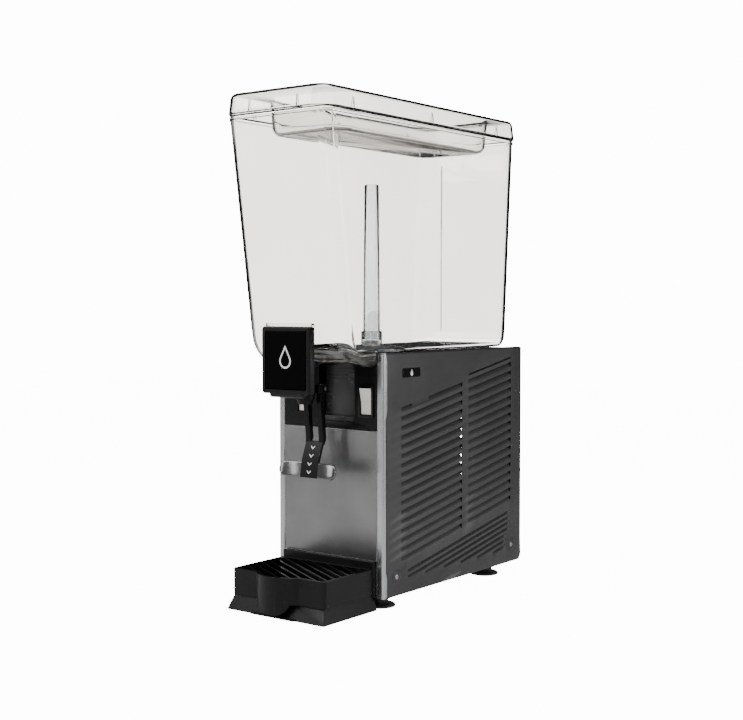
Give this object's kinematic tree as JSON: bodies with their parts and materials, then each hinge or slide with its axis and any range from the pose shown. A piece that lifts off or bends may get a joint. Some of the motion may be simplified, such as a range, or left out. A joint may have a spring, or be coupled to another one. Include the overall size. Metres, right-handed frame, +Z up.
{
  "type": "refrigerated juice dispenser",
  "caption": "Counter-top refrigerated juice dispenser: clear lift-off bowl with lid and spray tube over a louvred steel housing, push-lever tap, rocker switches and drip tray.",
  "frame": {"origin": "on the counter, under the middle of the whole machine's box", "axes": "+X to the right as the user faces the front, +Y from the front to the back, +Z up"},
  "size_m": [0.1818, 0.472, 0.6727],
  "materials": {
    "brushed_steel": "satin, brushed up and down",
    "bright_steel": "fine brushed, bright folds",
    "side_paint": "satin grey paint",
    "zinc_steel": "zinc plated",
    "black_plastic": "moulded, satin",
    "black_gloss": "high gloss",
    "clear_plastic": "clear polycarbonate",
    "clear_lid": "clear polycarbonate",
    "clear_tube": "clear tube",
    "white_plastic": "moulded, semi-gloss",
    "rubber": "matt",
    "foam": "cut rigid foam",
    "copper": "drawn copper",
    "compressor_paint": "black enamel",
    "aluminium": "mill finish",
    "motor_steel": "dark plated steel"
  },
  "bodies": {
    "machine": {"base_pan": "zinc_steel", "feet": "rubber", "front_frame": "bright_steel", "front_panel": "brushed_steel", "control_panel": "black_plastic", "side_panel_right": "side_paint", "side_panel_left": "side_paint", "rear_panel": "zinc_steel", "top_deck": "brushed_steel", "cross_brace": "zinc_steel", "panel_screws": "zinc_steel", "side_badges": "black_gloss", "insulation": "foam", "evaporator_dome": "bright_steel", "evaporator_coil": "copper", "evaporator_gasket": "rubber", "compressor": "compressor_paint", "compressor_grommets": "rubber", "compressor_bolts": "zinc_steel", "start_relay": "white_plastic", "condenser": "aluminium", "fan_shroud": "black_plastic", "fan_bracket": "zinc_steel", "fan_motor": "motor_steel", "filter_drier": "copper", "capillary_tube": "copper", "discharge_pipe": "copper", "suction_pipe": "copper", "pump_motor": "motor_steel", "motor_bracket": "zinc_steel", "power_inlet": "black_plastic", "terminal_block": "white_plastic", "thermostat": "zinc_steel", "switch_bodies": "black_plastic", "tray_holder": "black_plastic", "tray_base": "black_plastic"},
    "bowl": {"bowl": "clear_plastic", "cover_carrier": "clear_plastic", "tap_cover": "black_plastic", "label_plate": "black_gloss", "tap_nut": "black_plastic", "tap_body": "black_plastic", "lever_pin": "bright_steel", "tap_spring": "bright_steel"},
    "lid": {"lid": "clear_lid"},
    "lever": {"lever": "black_plastic"},
    "tap_piston": {"tap_piston": "white_plastic", "piston_seals": "rubber"},
    "spray_tube": {"spray_tube": "clear_tube", "pump_cover": "clear_tube"},
    "pump_rotor": {"drive_magnet": "motor_steel", "impeller": "white_plastic"},
    "fan_blade": {"fan_blade": "aluminium"},
    "thermostat_spindle": {"thermostat_spindle": "white_plastic"},
    "power_rocker": {"power_rocker": "white_plastic"},
    "pump_rocker": {"pump_rocker": "white_plastic"},
    "drip_tray": {"drip_tray": "black_plastic"},
    "drip_grid": {"drip_grid": "black_plastic"}
  },
  "joints": [
    {"name": "bowl_lift", "type": "slide", "parent": "machine", "child": "bowl", "axis": [0, 0, 1], "range_m": [0, 0.12]},
    {"name": "lid_lift", "type": "slide", "parent": "bowl", "child": "lid", "axis": [0, 0, 1], "range_m": [0, 0.1]},
    {"name": "lever_push", "type": "hinge", "parent": "bowl", "child": "lever", "pos_m": [0, -0.145, 0.29], "axis": [1, 0, 0], "range_deg": [0, 12], "stiffness_Nm_per_rad": 1.5, "springref_deg": -6.88},
    {"name": "piston_travel", "type": "slide", "parent": "bowl", "child": "tap_piston", "axis": [0, 0, 1], "range_m": [-0.003, 0], "deforming": ["tap_spring"]},
    {"name": "spray_tube_lift", "type": "slide", "parent": "machine", "child": "spray_tube", "axis": [0, 0, 1], "range_m": [0, 0.04]},
    {"name": "pump_spin", "type": "hinge", "parent": "machine", "child": "pump_rotor", "pos_m": [0, -0.0225, 0.33], "axis": [0, 0, 1], "continuous": true},
    {"name": "fan_spin", "type": "hinge", "parent": "machine", "child": "fan_blade", "pos_m": [0, -0.059, 0.1105], "axis": [0, 1, 0], "continuous": true},
    {"name": "thermostat_turn", "type": "hinge", "parent": "machine", "child": "thermostat_spindle", "pos_m": [0.04, 0.232, 0.25], "axis": [0, 1, 0], "range_deg": [0, 270]},
    {"name": "power_rocker_tilt", "type": "hinge", "parent": "machine", "child": "power_rocker", "pos_m": [0.062, -0.109, 0.274], "axis": [1, 0, 0], "range_deg": [-16, 0]},
    {"name": "pump_rocker_tilt", "type": "hinge", "parent": "machine", "child": "pump_rocker", "pos_m": [-0.045, -0.109, 0.274], "axis": [1, 0, 0], "range_deg": [-16, 0]},
    {"name": "tray_pull", "type": "slide", "parent": "machine", "child": "drip_tray", "axis": [0, -1, 0], "range_m": [0, 0.1]},
    {"name": "grid_lift", "type": "slide", "parent": "drip_tray", "child": "drip_grid", "axis": [0, 0, 1], "range_m": [0, 0.05]}
  ],
  "couplings": [
    {"joint": "piston_travel", "follows": "lever_push", "m_per_rad": -0.013}
  ]
}
